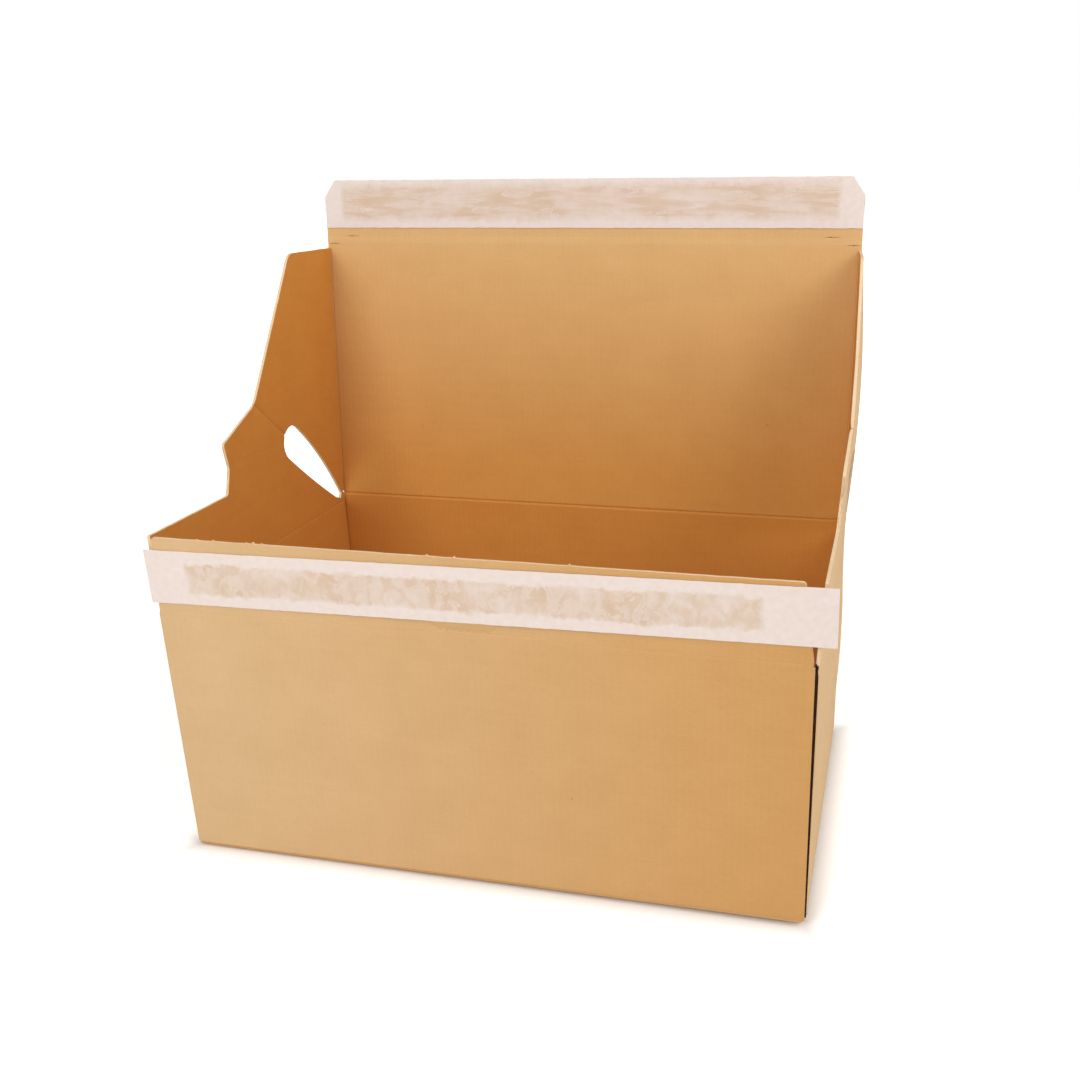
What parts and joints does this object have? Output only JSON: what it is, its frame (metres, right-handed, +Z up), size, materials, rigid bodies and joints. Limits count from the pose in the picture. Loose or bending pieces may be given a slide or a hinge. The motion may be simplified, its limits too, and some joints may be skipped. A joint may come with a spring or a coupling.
{
  "type": "mailer box",
  "caption": "Corrugated mailer box folded from one sheet, open, with a standing lid on folding side webs and peel-off adhesive strips on lid and front flap.",
  "frame": {"origin": "middle of the box's underside, on the floor", "axes": "+X to the box's right seen from the front, +Y to the back, where the lid is, +Z up"},
  "size_m": [0.3399, 0.226, 0.336],
  "materials": {
    "board": "matte uncoated kraft liner",
    "liner_paper": "silicone-coated release paper, low sheen",
    "hot_melt": "tacky hot-melt adhesive",
    "tear_film": "thin film tape, almost clear"
  },
  "bodies": {
    "carton": {"carton": "board"},
    "lid": {"lid": "board", "left_lid_wing": "board", "right_lid_wing": "board", "lid_adhesive": "hot_melt", "lid_liner": "liner_paper", "tear_tape": "tear_film"},
    "front_flap": {"front_flap": "board", "front_adhesive": "hot_melt", "front_liner": "liner_paper"},
    "left_side_flap": {"left_side_flap": "board"},
    "right_side_flap": {"right_side_flap": "board"}
  },
  "joints": [
    {"name": "lid_hinge", "type": "hinge", "parent": "carton", "child": "lid", "pos_m": [0, 0.1009, 0.141], "axis": [1, 0, 0], "range_deg": [0, 96], "deforming": ["left_lid_wing", "right_lid_wing"]},
    {"name": "front_flap_hinge", "type": "hinge", "parent": "carton", "child": "front_flap", "pos_m": [0, -0.1009, 0.138], "axis": [-1, 0, 0], "range_deg": [0, 90], "deforming": ["front_liner"]},
    {"name": "left_side_flap_hinge", "type": "hinge", "parent": "carton", "child": "left_side_flap", "pos_m": [-0.1634, 0, 0.136], "axis": [0, 1, 0], "range_deg": [0, 90]},
    {"name": "right_side_flap_hinge", "type": "hinge", "parent": "carton", "child": "right_side_flap", "pos_m": [0.1634, 0, 0.136], "axis": [0, -1, 0], "range_deg": [0, 93.4]}
  ],
  "couplings": [
    {"joint": "left_side_flap_hinge", "follows": "lid_hinge", "ratio": 0.9375},
    {"joint": "right_side_flap_hinge", "follows": "lid_hinge", "ratio": 0.97292}
  ]
}
